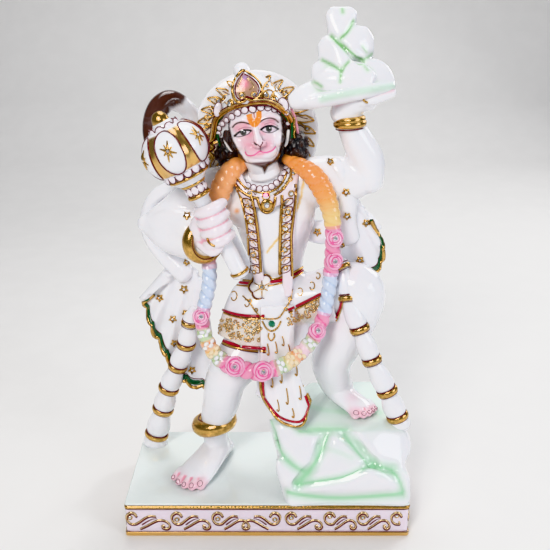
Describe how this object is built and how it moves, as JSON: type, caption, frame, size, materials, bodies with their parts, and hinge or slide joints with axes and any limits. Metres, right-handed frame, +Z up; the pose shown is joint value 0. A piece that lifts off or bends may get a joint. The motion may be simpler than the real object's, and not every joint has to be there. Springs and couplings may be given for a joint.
{
  "type": "hanuman figure",
  "caption": "Standing monkey-faced guardian figure in painted marble, a mace in one hand and a mountain raised on the other, carved with its plinth; a household shrine piece.",
  "frame": {"origin": "middle of the flat underside of the plinth", "axes": "+Z up, from the plinth to the top of the raised mountain; +X to the viewer's right of the figure, towards its raised left hand; +Y to the back, so the figure looks along -Y"},
  "size_m": [0.1768, 0.0844, 0.306],
  "materials": {
    "white_marble": "polished",
    "clear_glass": "faceted",
    "rose_glass": "faceted"
  },
  "bodies": {
    "root": {"marble_statue": "white_marble", "stone_01": "clear_glass", "stone_02": "clear_glass", "stone_03": "clear_glass", "stone_04": "clear_glass", "stone_05": "clear_glass", "stone_06": "clear_glass", "stone_07": "clear_glass", "stone_08": "clear_glass", "stone_09": "clear_glass", "stone_10": "clear_glass", "stone_11": "clear_glass", "stone_12": "clear_glass", "stone_13": "clear_glass", "stone_14": "clear_glass", "stone_15": "clear_glass", "stone_16": "rose_glass", "stone_17": "clear_glass", "stone_18": "clear_glass", "stone_19": "clear_glass", "stone_20": "clear_glass", "stone_21": "clear_glass", "stone_22": "clear_glass"}
  },
  "joints": []
}
